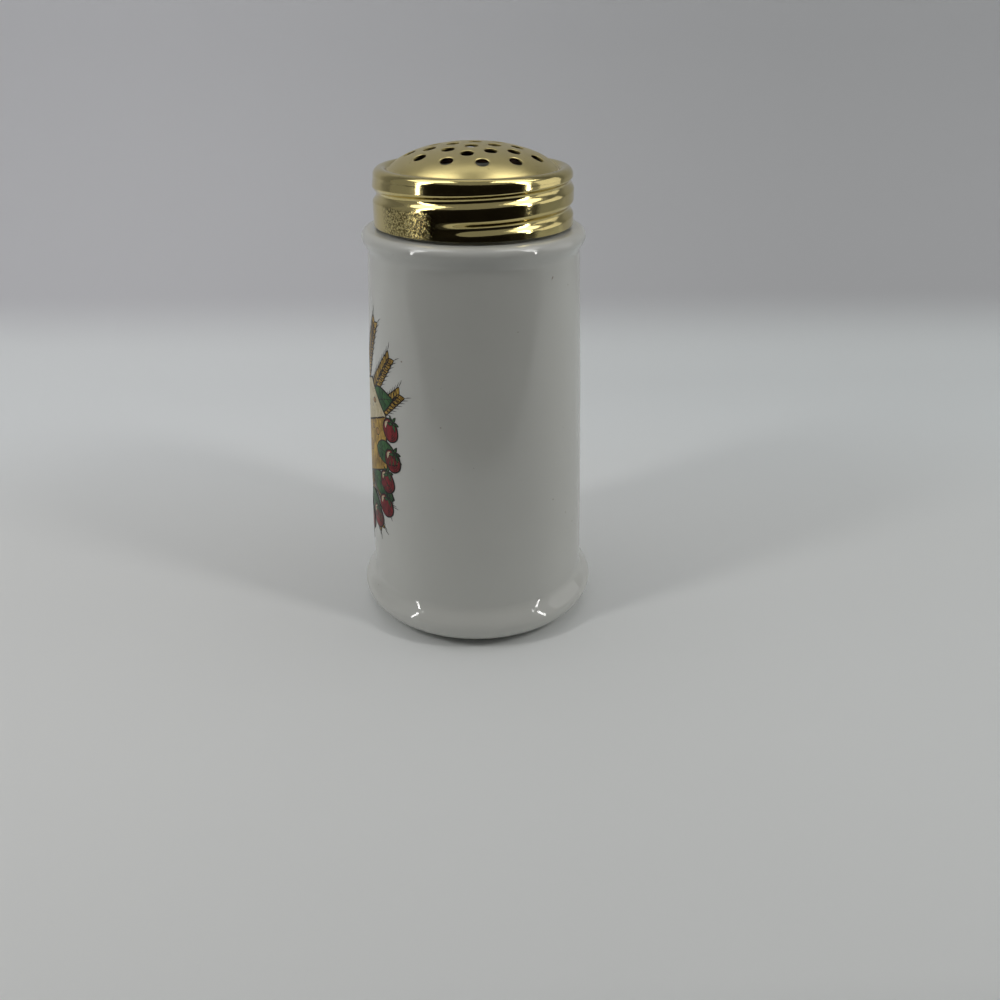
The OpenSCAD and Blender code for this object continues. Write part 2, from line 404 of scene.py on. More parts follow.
def gold_material():
    """Gold-tone sheet metal: a polished skirt and bead, with a scuffed patch at the left of the skirt,
    and a satin dome with spin marks. The underside of the dome is coloured dark brown as painted shade."""
    n = Nodes("gold")
    x, y, z = n.split(n.place())
    # Metres over which the scuffed patch fades out: to the left, the right, the top and the back
    scuff_left, scuff_right = (-0.0245, -0.022), (-0.0115, -0.0085)
    scuff_top, scuff_back = (0.1255, 0.1262), (-0.006, 0)
    scuffed = n.product(n.spread(x, *scuff_right, 1, 0), n.spread(x, *scuff_left),
                        n.spread(z, *scuff_top, 1, 0), n.spread(y, *scuff_back, 1, 0))
    radius = n.math("SQRT", n.math("ADD", n.product(x, x), n.product(y, y)), 0)
    above = n.spread(z, (VALLEY_Z - 0.6) * MM, (VALLEY_Z - 0.1) * MM)
    dome = n.product(above, n.spread(radius, (VALLEY_R - 0.3) * MM, (VALLEY_R + 1.6) * MM, 1, 0))
    tone = n.blend_colours(n.noise(90, 4), *GOLD)
    worn = n.blend_colours(n.spread(n.noise(420, 5, 0.7), 0.60, 0.74), tone, WORN_GOLD)
    speckles = n.product(n.spread(n.noise(1750, 4, 0.7), 0.43, 0.57), scuffed)
    scratched = n.blend_colours(speckles, worn, SCRATCHED)
    _, _, facing_up = n.split(n.add("ShaderNodeNewGeometry").outputs["Normal"])
    # Painted shade: faces that look down under the dome turn dark brown
    under = n.product(n.spread(facing_up, -0.25, -0.05, 1, 0),
                      n.spread(radius, (VALLEY_R - 0.4) * MM, VALLEY_R * MM, 1, 0))
    colour = n.blend_colours(under, scratched, UNDER_DOME_SHADE)
    smears = n.spread(n.noise(160, 4, 0.6), 0.35, 0.75, 0.0, 0.06)
    rough = n.math("ADD", smears, n.spread(dome, 0, 1, 0.08, 0.30, smooth=False))
    grain = n.bump(n.noise(1500, 3, 0.6), 0.00005, 0.25)
    dents = n.bump(n.product(n.noise(1900, 4, 0.65), scuffed), 0.00012, 0.6, under=grain)
    # Noise along the radius alone, so it runs in rings, and how many of them there are to a metre
    rings_to_metre = 5200.0
    spin = n.add("ShaderNodeCombineXYZ")
    n.link(n.product(radius, rings_to_metre), spin.inputs["X"])
    rings = n.noise(1.0, 4, vector=spin.outputs["Vector"])
    marks = n.bump(n.product(rings, dome), 0.00004, 0.35, under=dents)
    return n.finish(Base_Color=colour, Metallic=1.0, Roughness=rough, Normal=marks)


def board_material():
    """Red-brown fibre board."""
    n = Nodes("board")
    fibres = n.noise(900, 5, 0.65, n.stretched((1, 1, 4)))
    tone = n.blend_colours(fibres, *BOARD)
    return n.finish(Base_Color=tone, Roughness=0.62, Normal=n.bump(fibres, 0.0001, 0.5))


def ink_material(name, dark, light):
    """Fired transfer colour with fine hatching and little gloss."""
    n = Nodes(name)
    strokes = n.noise(1300, 3, 0.6, n.stretched((1.0, 1.0, 0.35)))
    patches = n.noise(240, 3, 0.6)
    both = n.math("ADD", n.product(strokes, 0.5), n.product(patches, 0.5))
    tone = n.blend_colours(n.spread(both, 0.38, 0.62), dark, light)
    return n.finish(Base_Color=tone, Roughness=0.3, Specular_IOR_Level=0.12,
                    Normal=n.bump(strokes, 0.00003, 0.4))


def paper_material():
    """Matt white sweep with light and shade painted into its colour. It is palest where the floor meets
    the back, as a painted pool of light, greyer up its back and to the right, where less light falls,
    and dark, as painted shade, on the floor nearer than the lower edge of the camera's view."""
    n = Nodes("sweep_paper")
    # Metres between which the tone changes: from left to right, from near to far, up to the photo's
    # lower edge, and up the foot of the back
    width, depth, edge, rise = (-0.25, 0.25), (0.02, 0.16), (-0.21, -0.145), (0.0, 0.026)
    x, y, z = n.split(n.place())
    # Painted light and shade: lighter at the left and far back, greyer up the back, dark in front
    across = n.spread(x, *width)
    near = n.blend_colours(across, *PAPER_NEAR)
    far = n.blend_colours(across, *PAPER_FAR_GLOW)
    floor = n.blend_colours(n.spread(y, *depth), near, far)
    front = n.blend_colours(n.spread(y, *edge), PAPER_FRONT_SHADE, floor)
    back = n.blend_colours(across, *PAPER_BACK_SHADED)
    tone = n.blend_colours(n.spread(z, *rise), front, back)
    return n.finish(Base_Color=tone, Roughness=0.75, Specular_IOR_Level=0.25)


# Body

def jar_outline():
    """Outline of the body: under the base, up the outside, over the rim and down the inside."""
    throat_z = BODY_H - THROAT_DROP
    inner_top_z = throat_z - THROAT_H
    inner_low_z = FLOOR_Z + FLOOR_ROUND
    inner_low_r = side_r(inner_low_z) - WALL
    neck_low = BODY_H + NECK_FILLET
    neck_high = RIM_Z - RIM_ROUND
    neck = [(NECK_R, neck_low + (neck_high - neck_low) * i / NECK_ROWS) for i in range(1, NECK_ROWS)]
    # The recess under the base, whose two edges are rounded by the points beside them
    foot_in = RECESS_R + RECESS_FLARE
    recess = [(0, RECESS_H), (8, RECESS_H), (16, RECESS_H), (RECESS_R - 0.3, RECESS_H)]
    recess += [(RECESS_R + 0.25, RECESS_H - 0.35), (foot_in - 0.15, 0.18), (foot_in + 0.1, 0)]
    widest_z = BODY_H - COLLAR_ROUND
    # The last number of each stretch is how many steps it takes
    return (
        recess
        + arc((FOOT_R - FOOT_ROUND_W, FOOT_WIDEST_H), FOOT_ROUND_W, FOOT_WIDEST_H, -90, 0, 24)
        + s_curve((FOOT_R, FOOT_WIDEST_H), (BODY_LOW_R, FOOT_H), 24)[1:]
        + side(FOOT_H, COLLAR_Z, 0, 60)[1:]
        + s_curve((BODY_TOP_R, COLLAR_Z), (COLLAR_R, widest_z), 14)[1:]
        + arc((COLLAR_R - COLLAR_ROUND, widest_z), COLLAR_ROUND, COLLAR_ROUND, 0, 90, 14)[1:]
        + arc((NECK_R + NECK_FILLET, neck_low), NECK_FILLET, NECK_FILLET, 270, 180, 8)
        + neck
        + arc((NECK_R - RIM_ROUND, neck_high), RIM_ROUND, RIM_ROUND, 0, 90, 10)
        + arc((MOUTH_R + RIM_ROUND, neck_high), RIM_ROUND, RIM_ROUND, 90, 180, 10)
        + s_curve((MOUTH_R, throat_z), (side_r(inner_top_z) - WALL, inner_top_z), 16)
        + side(inner_top_z, inner_low_z, WALL, 30)[1:]
        + arc((inner_low_r - FLOOR_ROUND, inner_low_z), FLOOR_ROUND, FLOOR_ROUND, 0, -90, 14)[1:]
        + [(12, FLOOR_Z), (0, FLOOR_Z)]
    )


def neck_radius(r, z, a):
    """Radius of the body at an azimuth, with the thread ridge on its neck."""
    if abs(r - NECK_R) > TINY or z <= BODY_H + NECK_FILLET or z >= RIM_Z - RIM_ROUND:
        return r
    wound = RIDGE_FROM + (a - RIDGE_FROM) % 360
    up = z - (GROOVE_Z + RIDGE_RISE + PITCH * wound / 360)
    share = thread_rise(wound, RIDGE_FROM, RIDGE_TURNS) * thread_share(up, RIDGE_W)
    return max(r, r - RIDGE_LIFT + (RIDGE_H + RIDGE_LIFT) * share)


def build_jar(material):
    """The ceramic body with its hollow and its threaded neck."""
    vertices, faces = lathe(jar_outline(), JAR_COLUMNS, neck_radius)
    piece = make_object("jar", vertices, faces, material, sharp=50)
    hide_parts("jar_body")
    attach(piece, "jar")


# Cap

def dome_point(x, y, depth):
    """Point of the dome over a place in plan, on the surface that lies a depth inside it."""
    half_w, half_h = DOME_R - depth, DOME_CURVE - depth
    share = min(1.0, (x * x + y * y) / half_w ** 2)
    return Vector((x, y, DOME_Z + half_h * math.sqrt(1 - share)))


def dome_normal(point):
    """Direction square to the dome at one of its points."""
    return Vector((point.x / DOME_R ** 2, point.y / DOME_R ** 2,
                   (point.z - DOME_Z) / DOME_CURVE ** 2)).normalized()


def along_axis(centre, axis, offset, depth):
    """Where a line beside a hole's axis meets the surface that lies a depth inside the dome."""
    half_w, half_h = DOME_R - depth, DOME_CURVE - depth
    scale = Vector((1 / half_w, 1 / half_w, 1 / half_h))
    start = (centre + offset - Vector((0, 0, DOME_Z))) * scale
    run = axis * scale
    a, b, c = run.dot(run), start.dot(run), start.dot(start) - 1
    t = (-b + math.sqrt(max(0.0, b * b - a * c))) / a
    return centre + offset + axis * t


def hole_centres():
    """Places of the holes in plan: a six-sided field and a round ring outside it."""
    centres = []
    turn = math.radians(FIELD_TURN)
    span = range(-FIELD_RINGS, FIELD_RINGS + 1)
    for i in span:
        for j in span:
            if abs(i + j) <= FIELD_RINGS:
                x, y = HOLE_PITCH * (i + j / 2), HOLE_PITCH * j * math.sqrt(3) / 2
                centres.append((HOLES_RIGHT + x * math.cos(turn) - y * math.sin(turn),
                                HOLES_BACK + x * math.sin(turn) + y * math.cos(turn)))
    for k in range(RING_COUNT):
        a = math.radians(RING_TURN + 360 * k / RING_COUNT)
        centres.append((HOLES_RIGHT + RING_R * math.sin(a), HOLES_BACK - RING_R * math.cos(a)))
    return centres


def lip_drop(distance):
    """How far the punched edge of a hole is drawn in at a distance from it."""
    return LIP_DROP * (1 - ease(min(1.0, distance / LIP_REACH)))


class DomePoints:
    """The dome's points in pairs, one on the outside and one under it on the inside, with the place
    in plan by which the pairs are joined into triangles."""

    def __init__(self):
        self.plan, self.outer, self.inner = [], [], []

    def add(self, x, y, top, low):
        """Adds a pair and returns its number."""
        self.plan.append(Vector((x, y)))
        self.outer.append(top)
        self.inner.append(low)
        return len(self.plan) - 1

    def add_hole(self, x, y, distances):
        """Adds a ring of pairs at each distance from a hole's edge, and returns the nearest ring."""
        centre = dome_point(x, y, 0)
        axis = dome_normal(centre)
        across = axis.cross(Vector((0, 0, 1)))
        across = across.normalized() if across.length > TINY else Vector((1, 0, 0))
        along = axis.cross(across)
        rings = []
        for distance in distances:
            ring = []
            for k in range(HOLE_POINTS):
                a = 2 * math.pi * k / HOLE_POINTS
                offset = (across * math.cos(a) + along * math.sin(a)) * (HOLE_R + distance)
                top = along_axis(centre, axis, offset, 0)
                low = along_axis(centre, axis, offset, SHEET)
                drop = axis * lip_drop(distance)
                ring.append(self.add(top.x, top.y, top - drop, low - drop))
            rings.append(ring)
        return rings[0]

    def add_sheet(self, columns, centres, clear):
        """Adds rows of pairs between the holes, closer together near the dome's foot."""
        spacing, close_from, stop = 0.7, VALLEY_R - 3, VALLEY_R - 0.3
        row, r = 0, 0.0
        while r < stop:
            count = max(1, min(columns, round(2 * math.pi * r / spacing)))
            for k in range(count):
                a = 2 * math.pi * (k + 0.5 * (row % 2)) / count
                x, y = r * math.sin(a), -r * math.cos(a)
                if all((x - cx) ** 2 + (y - cy) ** 2 >= clear ** 2 for cx, cy in centres):
                    top = dome_point(x, y, 0)
                    self.add(x, y, top, top - dome_normal(top) * SHEET)
            row += 1
            r += spacing if r < close_from else spacing / 2

    def add_edge(self, columns):
        """Adds the pairs along the dome's foot and returns their numbers."""
        foot_turn = math.asin((VALLEY_Z - SHEET - DOME_Z) / (DOME_CURVE - SHEET))
        inner_r = (DOME_R - SHEET) * math.cos(foot_turn)
        edge = []
        for k in range(columns):
            a = math.radians(360 * k / columns)
            x, y = VALLEY_R * math.sin(a), -VALLEY_R * math.cos(a)
            low = Vector((inner_r * math.sin(a), -inner_r * math.cos(a), VALLEY_Z - SHEET))
            edge.append(self.add(x, y, Vector((x, y, VALLEY_Z)), low))
        return edge


def sides_of(ring):
    """Neighbours along a closed ring."""
    return list(zip(ring, ring[1:] + ring[:1]))


def dome_mesh(columns):
    """The pierced dome: vertices, faces, and the rings that its outer and inner edges end on."""
    points = DomePoints()
    distances = (0.0, 0.07, 0.15, 0.3, 0.6, 1.0)
    clear = HOLE_R + distances[-1] + 0.35
    centres = hole_centres()
    rims = [points.add_hole(x, y, distances) for x, y in centres]
    points.add_sheet(columns, centres, clear)
    edge = points.add_edge(columns)
    loops = [pair for ring in rims + [edge] for pair in sides_of(ring)]
    _, _, triangles, origins, _, _ = delaunay_2d_cdt(points.plan, loops, [], OVER_ALL, SAME_PLACE, True)
    of_input = [ids[0] if ids else None for ids in origins]
    rim_of = {v: i for i, ring in enumerate(rims) for v in ring}
    size = len(points.plan)
    faces = []
    for triangle in triangles:
        a, b, c = (of_input[v] for v in triangle)
        if rim_of.get(a, -1) == rim_of.get(b, -2) == rim_of.get(c, -3):
            continue
        faces.append((a, b, c))
        faces.append((c + size, b + size, a + size))
    for ring in rims:
        faces += [(v, w, w + size, v + size) for v, w in sides_of(ring)]
    vertices = [tuple(v * MM) for v in points.outer + points.inner]
    return vertices, faces, edge, [v + size for v in edge]


def skirt_plain_r(z):
    """Radius of the skirt at a height, before its thread is rolled."""
    if z < CAP_Z + FLARE_H:
        return SKIRT_R + FLARE * ease((CAP_Z + FLARE_H - z) / FLARE_H)
    if z > SKIRT_Z:
        return SKIRT_R - BEAD_IN * ease((z - SKIRT_Z) / (BEAD_Z - SKIRT_Z))
    return SKIRT_R


def skirt_face_r(a, z):
    """Radius of the skirt's outside at an azimuth and a height."""
    depth = 0.0
    for turn in range(math.ceil(GROOVE_TURNS) + 1):
        wound = GROOVE_FROM + (a - GROOVE_FROM) % 360 + turn * 360
        rise = thread_rise(wound, GROOVE_FROM, GROOVE_TURNS)
        depth = max(depth, rise * thread_share(z - GROOVE_Z - PITCH * wound / 360, GROOVE_W))
    return min(skirt_plain_r(z), SKIRT_R - min(GROOVE_DEPTH * depth, BEAD_Z - z))


def crown_outline(inset):
    """Outline of the bead, from the valley's level to its widest place."""
    round_r = BEAD_ROUND - inset
    start = 180 - math.degrees(math.asin((VALLEY_Z - inset - BEAD_Z) / round_r))
    return arc((BEAD_R, BEAD_Z), round_r, round_r, start, 0, 40)


def build_cap(material):
    """The sheet metal cap: the dome, then rows over the bead, down the outside of the skirt, around
    its lower edge, up its inside and under the bead, back to the dome."""
    azimuths = [360 * k / CAP_COLUMNS for k in range(CAP_COLUMNS)]
    vertices, faces, outer_edge, inner_edge = dome_mesh(CAP_COLUMNS)
    heights = [BEAD_Z - (BEAD_Z - CAP_Z) * i / SKIRT_ROWS for i in range(1, SKIRT_ROWS + 1)]
    rows = [[point] * CAP_COLUMNS for point in crown_outline(0)]
    rows += [[(skirt_face_r(a, z), z) for a in azimuths] for z in heights]
    rows.append([(r - SHEET / 2, z - EDGE_ROUND) for r, z in rows[-1]])
    rows += [[(skirt_face_r(a, z) - SHEET, z) for a in azimuths] for z in reversed(heights)]
    rows += [[point] * CAP_COLUMNS for point in reversed(crown_outline(SHEET))]
    last = outer_edge
    for row in rows:
        ring = list(range(len(vertices), len(vertices) + CAP_COLUMNS))
        vertices += [around(r, a, z) for a, (r, z) in zip(azimuths, row)]
        faces += bridge(ring, last)
        last = ring
    faces += bridge(inner_edge, last)
    piece = make_object("cap", vertices, faces, material, sharp=55)
    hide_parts("cap_shell")
    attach(piece, "cap")


def build_liner(material):
    """Sealing ring with rounded edges and the shallow mark of the rim on its lower face."""
    low, high = RIM_Z, RIM_Z + LINER_H
    edge = 0.15
    mark_in, mark_out = MOUTH_R + RIM_ROUND + 0.7, NECK_R - RIM_ROUND - 0.1
    mark_slope, mark_depth = 0.3, 0.05
    outline = [
        (LINER_IN_R, low + edge), (LINER_IN_R + edge, low),
        (mark_in, low), (mark_in + mark_slope, low + mark_depth),
        (mark_out - mark_slope, low + mark_depth), (mark_out, low),
        (LINER_OUT_R - edge, low), (LINER_OUT_R, low + edge), (LINER_OUT_R, high - edge),
        (LINER_OUT_R - edge, high), (LINER_IN_R + edge, high), (LINER_IN_R, high - edge),
    ]
    vertices, faces = lathe(outline + outline[:1], LINER_COLUMNS)
    piece = make_object("liner", vertices, faces, material, sharp=60)
    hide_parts("cap_liner")
    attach(piece, "liner")


# Fired picture

class Print:
    """Thin closed shapes on the curved wall, gathered by colour. Places are in millimetres to
    the right of the picture's middle along the wall, and above it. Each motif lies a step above
    the one before, with its details and its lines a third and two thirds of a step higher."""

    def __init__(self):
        self.layers = {}
        self.level = INK_LOW

    def motif(self):
        """Starts a motif on top of what is drawn so far."""
        self.level += INK_STEP

    def lifted(self, point, lift):
        """A place of the picture in metres, at a distance off the wall."""
        u, v = point
        z = PICTURE_Z + v
        a = PICTURE_TURN + math.degrees(u / side_r(PICTURE_Z))
        return around(side_r(z) + lift, a, z)

    def solid(self, colour, points, triangles, high):
        """A flat shape given by triangles, as a closed slab from the lowest ink to a height."""
        vertices, faces = self.layers.setdefault(colour, ([], []))
        first, count = len(vertices), len(points)
        vertices += [self.lifted(p, high) for p in points]
        vertices += [self.lifted(p, INK_LOW) for p in points]
        sides = {}
        for a, b, c in triangles:
            faces.append((first + a, first + b, first + c))
            faces.append((first + c + count, first + b + count, first + a + count))
            for p, q in ((a, b), (b, c), (c, a)):
                if (q, p) in sides:
                    del sides[(q, p)]
                else:
                    sides[(p, q)] = True
        for p, q in sides:
            faces.append((first + q, first + p, first + p + count, first + q + count))

    def patch(self, colour, outline, detail=False):
        """A filled outline, cut finely enough to follow the wall."""
        step, margin = 1.6, 0.4
        lows = [min(p[i] for p in outline) for i in (0, 1)]
        highs = [max(p[i] for p in outline) for i in (0, 1)]
        points = [Vector(p) for p in outline]
        for i in range(1, int((highs[0] - lows[0]) / step) + 1):
            for j in range(1, int((highs[1] - lows[1]) / step) + 1):
                spot = (lows[0] + i * step, lows[1] + j * step)
                if inside(spot, outline) and gap_to(spot, outline) > margin:
                    points.append(Vector(spot))
        loop = list(range(len(outline)))
        where, _, triangles, _, _, _ = delaunay_2d_cdt(points, [], [loop], INSIDE, SAME_PLACE, True)
        high = self.level + (INK_STEP / 3 if detail else 0)
        self.solid(colour, [tuple(p) for p in where], [tuple(t) for t in triangles], high)

    def stroke(self, path, width, closed=False, taper=False):
        """A dark line along a path, which may close or grow thin towards its ends."""
        count = len(path)
        points, triangles = [], []
        for i, p in enumerate(path):
            before = path[(i - 1) % count] if closed or i else p
            after = path[(i + 1) % count] if closed or i < count - 1 else p
            run = Vector(after) - Vector(before)
            aside = Vector((-run.y, run.x)).normalized() if run.length > 0 else Vector((0, 1))
            half = width / 2
            if taper:
                half *= max(0.15, math.sin(math.pi * i / (count - 1)) ** 0.6)
            points += [tuple(Vector(p) + aside * half), tuple(Vector(p) - aside * half)]
        for i in range(count if closed else count - 1):
            n = (i + 1) % count
            triangles += [(2 * i, 2 * i + 1, 2 * n + 1), (2 * i, 2 * n + 1, 2 * n)]
        self.solid("line", points, triangles, self.level + INK_STEP * 2 / 3)

    def build(self):
        """Makes one object of each colour."""
        materials = {colour: ink_material("ink_" + colour, *tones) for colour, tones in INKS.items()}
        for colour, (vertices, faces) in self.layers.items():
            piece = make_object("picture_" + colour, vertices, faces, materials[colour], sharp=30)
            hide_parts("decal")
            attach(piece, "jar")


def inside(spot, outline):
    """Whether a place lies inside an outline."""
    x, y = spot
    within = False
    for (ax, ay), (bx, by) in sides_of(outline):
        if (ay > y) != (by > y) and x < ax + (bx - ax) * (y - ay) / (by - ay):
            within = not within
    return within


def gap_to(spot, outline):
    """Least distance from a place to the corners of an outline."""
    return min(math.dist(spot, p) for p in outline)


def turned(points, place, angle, size=1.0):
    """Points turned by an angle in degrees, sized, and moved to a place."""
    c, s = math.cos(math.radians(angle)), math.sin(math.radians(angle))
    return [(place[0] + size * (x * c - y * s), place[1] + size * (x * s + y * c)) for x, y in points]


def leaf_outline(length, width, bend=0.0):
    """A pointed leaf along the x axis, from its stalk to its tip."""
    steps = 14

    def half(t):
        return width / 2 * math.sin(math.pi * t ** 0.8) ** 0.9

    def mid(t):
        return bend * math.sin(math.pi * t)

    ups = [(length * i / steps, mid(i / steps) + half(i / steps)) for i in range(steps + 1)]
    downs = [(length * i / steps, mid(i / steps) - half(i / steps)) for i in range(steps - 1, 0, -1)]
    return ups + downs


def draw_leaf(art, place, angle, length, width, bend):
    """A basil leaf with its dark outline, midrib and side veins."""
    outline = turned(leaf_outline(length, width, bend), place, angle)
    art.motif()
    art.patch("green", outline)
    art.stroke(outline, width=0.42, closed=True)
    rib = [(length * i / 10, bend * math.sin(math.pi * i / 10)) for i in range(11)]
    art.stroke(turned(rib, place, angle), width=0.34, taper=True)
    for i in (2, 4, 6, 8):
        t = i / 10
        root = (length * t, bend * math.sin(math.pi * t))
        reach = width * 0.36 * math.sin(math.pi * t ** 0.8)
        for way in (1, -1):
            vein = [(root[0] + reach * 0.8 * s, root[1] + way * reach * s) for s in (0, 0.35, 0.7, 1)]
            art.stroke(turned(vein, place, angle), width=0.22, taper=True)


def circle(r, count, squash, wobble=0.0):
    """A flattened ring of points, which may be lobed."""
    points = []
    for k in range(count):
        a = 2 * math.pi * k / count
        reach = r * (1 + wobble * math.cos(5 * a))
        points.append((reach * math.cos(a), squash * reach * math.sin(a)))
    return points


def draw_tomato(art, place, r, angle):
    """A small tomato with its star of sepals, a highlight and shading strokes."""
    body = turned(circle(r, 40, 0.94, 0.015), place, angle)
    art.motif()
    art.patch("red", body)
    art.stroke(body, width=0.45, closed=True)
    shine_foot = (place[0] - r * 0.62, place[1] + r * 0.05)
    art.patch("cream", turned(leaf_outline(r * 0.8, r * 0.24, r * 0.16), shine_foot, 62), detail=True)
    for k in range(3):
        reach = r * (0.80 - 0.17 * k)
        start = -62 + 8 * k
        bow = [(reach * math.cos(math.radians(a)), reach * math.sin(math.radians(a)))
               for a in range(start, start + 81, 9)]
        art.stroke(turned(bow, place, angle), width=0.24, taper=True)
    top = turned([(0, r * 0.74)], place, angle)[0]
    for k in range(5):
        sepal = turned(leaf_outline(r * 0.72, r * 0.26, r * 0.05), top, angle + 90 + (k - 2) * 62)
        art.patch("green", sepal, detail=True)
        art.stroke(sepal, width=0.22, closed=True)


def draw_wheat(art, root, angle, length, bend):
    """An ear of wheat on a bent stalk, with paired grains and fine awns."""
    pairs, longest, shorter_by = 10, 5.4, 1.5

    def stalk(t):
        return (length * t, bend * t * t)

    art.motif()
    art.stroke(turned([stalk(i / 20) for i in range(21)], root, angle), width=0.55)
    for i in range(pairs):
        t = 0.36 + 0.60 * i / (pairs - 1)
        place = turned([stalk(t)], root, angle)[0]
        lean = angle + math.degrees(math.atan2(2 * bend * t, length))
        size = longest - shorter_by * i / (pairs - 1)
        for way in (1, -1):
            grain = turned(leaf_outline(size, size * 0.52), place, lean + way * 27)
            art.patch("gold", grain)
            art.stroke(grain, width=0.30, closed=True)
            tip = turned([(size, 0)], place, lean + way * 27)[0]
            awn = turned([(0, 0), (1.3, way * 0.1), (2.6, way * 0.4)], tip, lean + way * 15)
            art.stroke(awn, width=0.2, taper=True)


def draw_cheese(art, place, size):
    """A wedge of hard cheese: pale top, gold cut face, darker rind, pits and dark edges."""
    left, back, right, front = (-14, 3), (9, 10), (15, 4.5), (-3, -2.5)
    low_left, low_right, low_front = (-14, -7.5), (15, -5.5), (-3, -13)
    sides = (
        ("cream", (left, back, right, front)),
        ("gold", (front, right, low_right, low_front)),
        ("rind", (left, front, low_front, low_left)),
    )
    pits = ((2, 0.2, 1.0), (7.5, -3.4, 1.3), (11.6, 0.6, 0.8), (3.4, -7.2, 1.2), (9.4, 0.9, 0.5),
            (12.2, -3.6, 0.6), (-0.8, -5.2, 0.7), (5.2, 3.9, 0.7), (10.4, 6.2, 0.6))
    art.motif()
    for colour, corners in sides:
        outline = dense(turned(corners, place, 0, size))
        art.patch(colour, outline)
        art.stroke(outline, width=0.5, closed=True)
    for x, y, r in pits:
        pit = turned(circle(r * size, 18, 0.8), turned([(x, y)], place, 0, size)[0], 20)
        art.patch("rind", pit, detail=True)
        art.stroke(pit, width=0.26, closed=True)
    for i in range(6):
        x = -13.2 + 1.7 * i
        mark = [(x, 1.2 - 0.5 * i), (x, -1.6 - 0.5 * i), (x, -4.4 - 0.5 * i)]
        art.stroke(turned(mark, place, 0, size), width=0.24, taper=True)


def dense(corners):
    """A straight-sided outline with points added along its sides, so it can follow the wall."""
    spacing = 1.5
    points = []
    for (ax, ay), (bx, by) in sides_of(corners):
        count = max(1, int(math.dist((ax, ay), (bx, by)) / spacing))
        points += [(ax + (bx - ax) * i / count, ay + (by - ay) * i / count) for i in range(count)]
    return points


def build_picture():
    """A generic kitchen still life of wheat, cheese, tomatoes and basil, each over those before it."""
    motifs = (
        (draw_wheat, (-8, 4), 130, 29, 5), (draw_wheat, (12, 2), 30, 25, 2),
        (draw_wheat, (-3, 4), 108, 31, 4), (draw_wheat, (9, 3), 47, 30, 1),
        (draw_wheat, (2, 4), 86, 31, -1), (draw_wheat, (6, 4), 66, 33, -1),
        (draw_wheat, (-7, -7), -128, 27, -1), (draw_wheat, (10, -7), -38, 20, 1),
        (draw_wheat, (7, -7), -56, 25, 1), (draw_wheat, (-2, -7), -102, 27, 0),
        (draw_wheat, (3, -7), -78, 27, 0),
        (draw_leaf, (18, 9), 24, 14, 8, 1.2), (draw_leaf, (-13, 5), 150, 15, 9, -1.2),
        (draw_cheese, (3, 1.5), 1.62),
        (draw_tomato, (29.2, 5.2), 3.6, -30), (draw_leaf, (21, -2.5), -6, 13, 7, 0.8),
        (draw_tomato, (30.0, -4.0), 3.6, -24), (draw_leaf, (17, -12.5), -16, 14, 7, 0.8),
        (draw_tomato, (27.0, -11.6), 3.7, -12), (draw_tomato, (26.2, -19.6), 3.7, -24),
        (draw_leaf, (13, -19.5), -34, 13, 7, 0.8), (draw_tomato, (20.4, -25.4), 3.8, -10),
        (draw_leaf, (3, -22), -62, 12, 7, 0.8), (draw_tomato, (12.6, -29.6), 3.8, 0),
        (draw_leaf, (-5, -21), -128, 12, 7, -0.8), (draw_tomato, (-6.0, -30.0), 3.8, 8),
        (draw_leaf, (-16, -8), 186, 14, 7.5, -1.0), (draw_tomato, (-25.5, 0.5), 3.9, 24),
        (draw_tomato, (-20.5, -18.5), 4.2, 14),
    )
    art = Print()
    for draw, *measures in motifs:
        draw(art, *measures)
    art.build()


# Stage, lights and camera

def at(azimuth, distance, height):
    """A place at an azimuth in degrees from the front, in metres."""
    a = math.radians(azimuth)
    return (distance * math.sin(a), -distance * math.cos(a), height)


def make_strip(name, pairs, material, **settings):
    """An object with a face between each pair of places and the next."""
    vertices = [place for pair in pairs for place in pair]
    faces = [(2 * i, 2 * i + 1, 2 * i + 3, 2 * i + 2) for i in range(len(pairs) - 1)]
    return make_object(name, vertices, faces, material, **settings)


def build_sweep():
    """A pale floor that curves up into a backdrop."""
    half_w, front, back, cove, top = 1.3, -0.9, 0.36, 0.16, 1.1
    steps = 24
    line = [(front, 0.0), (back - cove, 0.0)]
    for i in range(1, steps + 1):
        a = math.pi / 2 * i / steps
        line.append((back - cove + cove * math.sin(a), cove - cove * math.cos(a)))
    line.append((back, top))
    pairs = [((-half_w, y, z), (half_w, y, z)) for y, z in line]
    sweep = make_strip("sweep", pairs, paper_material(), sharp=60)


def build_front_screen():
    """The dark side of the room, behind the camera. It shades the front and is seen only in
    reflections."""
    n = Nodes("dark_room")
    tone = n.blend_colours(n.noise(4, 2), *DARK_ROOM)
    material = n.finish(Base_Color=tone, Roughness=0.9, Specular_IOR_Level=0.1)
    spread, steps, reach, low, high = 57.0, 24, 0.40, 0.001, 0.47
    azimuths = [-spread + 2 * spread * i / steps for i in range(steps + 1)]
    pairs = [(at(a, reach, low), at(a, reach, high)) for a in azimuths]
    screen = make_strip("dark_screen", pairs, material)
    screen.visible_camera = False


def add_lamp(name, place, target, size, brightness, kind="lamp"):
    """An even panel of light at a place, facing a target. Brightness 1 is as bright as white.
    A glint shows only in reflections, and a fill shows in none."""
    data = bpy.data.lights.new(name, "AREA")
    data.shape = "RECTANGLE"
    data.size, data.size_y = size
    data.energy = brightness * math.pi * size[0] * size[1]
    data.color = LAMP_COLOUR
    lamp = bpy.data.objects.new(name, data)
    lamp.location = place
    lamp.rotation_euler = (Vector(target) - Vector(place)).to_track_quat("-Z", "Y").to_euler()
    lamp.visible_diffuse = kind != "glint"
    lamp.visible_glossy = kind != "fill"
    bpy.context.scene.collection.objects.link(lamp)


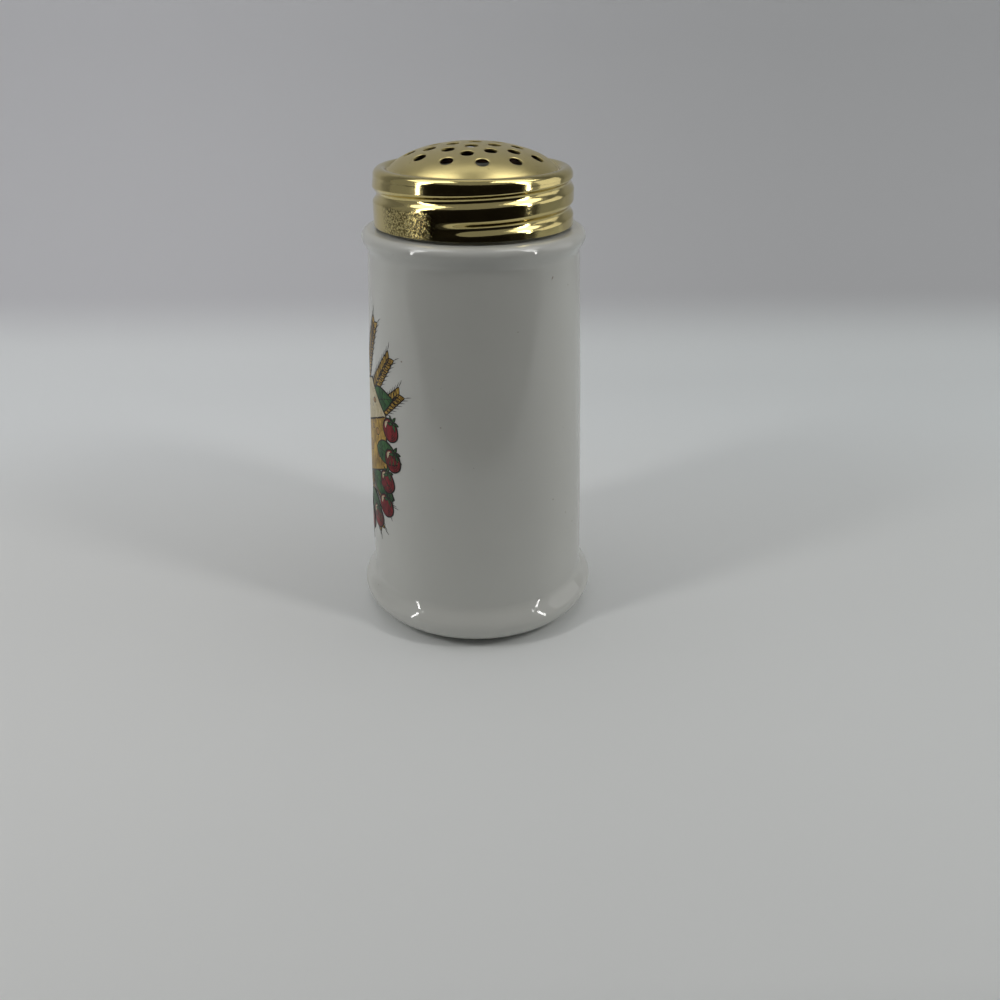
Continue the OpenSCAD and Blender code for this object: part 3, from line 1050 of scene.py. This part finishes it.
def build_lights():
    """A light tent that is open and dark in front. At each front corner a small key lamp lights the
    shaker and is kept out of reflections. The lamp, the low bar and the high panel on each side
    show only in reflections. Panels at the sides, overhead and over the back light the rest, with
    an even glow."""
    middle = (0, 0, 0.06)
    front, back = (0, -0.06, 0), (0, 0.12, 0)
    panel_top_y, panel_top_z = -0.06, 0.66
    for side_name, way, key in (("left", -1, 18.0), ("right", 1, 17.4)):
        add_lamp("key_" + side_name, at(way * 59, 0.37, 0.38), middle, (0.055, 0.13), key, "fill")
        add_lamp("lamp_" + side_name, at(way * 64, 0.42, 0.42), middle, (0.10, 0.22), 6.0, "glint")
        add_lamp("bar_" + side_name, at(way * 62.5, 0.50, 0.175), middle, (0.022, 0.25), 14, "glint")
        add_lamp("panel_top_" + side_name, (way * 0.32, panel_top_y, panel_top_z), front,
                 (0.28, 0.40), 2.2, "glint")
    add_lamp("panel_left", at(-96, 0.56, 0.24), middle, (0.40, 0.40), 0.62, "fill")
    add_lamp("panel_right", at(96, 0.56, 0.24), middle, (0.40, 0.40), 0.70)
    add_lamp("panel_top", (0, panel_top_y, panel_top_z), front, (0.50, 0.40), 0.52, "fill")
    add_lamp("panel_back", (0, 0.16, 0.62), back, (0.60, 0.16), 0.72)
    world = bpy.data.worlds.new("room")
    bpy.context.scene.world = world
    world.use_nodes = True
    background = world.node_tree.nodes["Background"]
    background.inputs["Color"].default_value = (*GLOW_COLOUR, 1)
    background.inputs["Strength"].default_value = GLOW_STRENGTH


def build_camera():
    """The camera fitted to the photo's outlines, which looks down at the shaker from the front."""
    tilt, turn = 63, -1.55
    data = bpy.data.cameras.new("camera")
    data.lens = 34.2
    data.sensor_width = 36
    data.clip_start = 0.01
    camera = bpy.data.objects.new("camera", data)
    camera.location = (0, -0.270, 0.170)
    camera.rotation_euler = (math.radians(tilt), 0, math.radians(turn))
    bpy.context.scene.collection.objects.link(camera)
    bpy.context.scene.camera = camera


bpy.context.scene.view_settings.view_transform = "Standard"
build_camera()
build_jar(glaze_material())
build_cap(gold_material())
build_liner(board_material())
build_picture()
build_sweep()
build_front_screen()
build_lights()
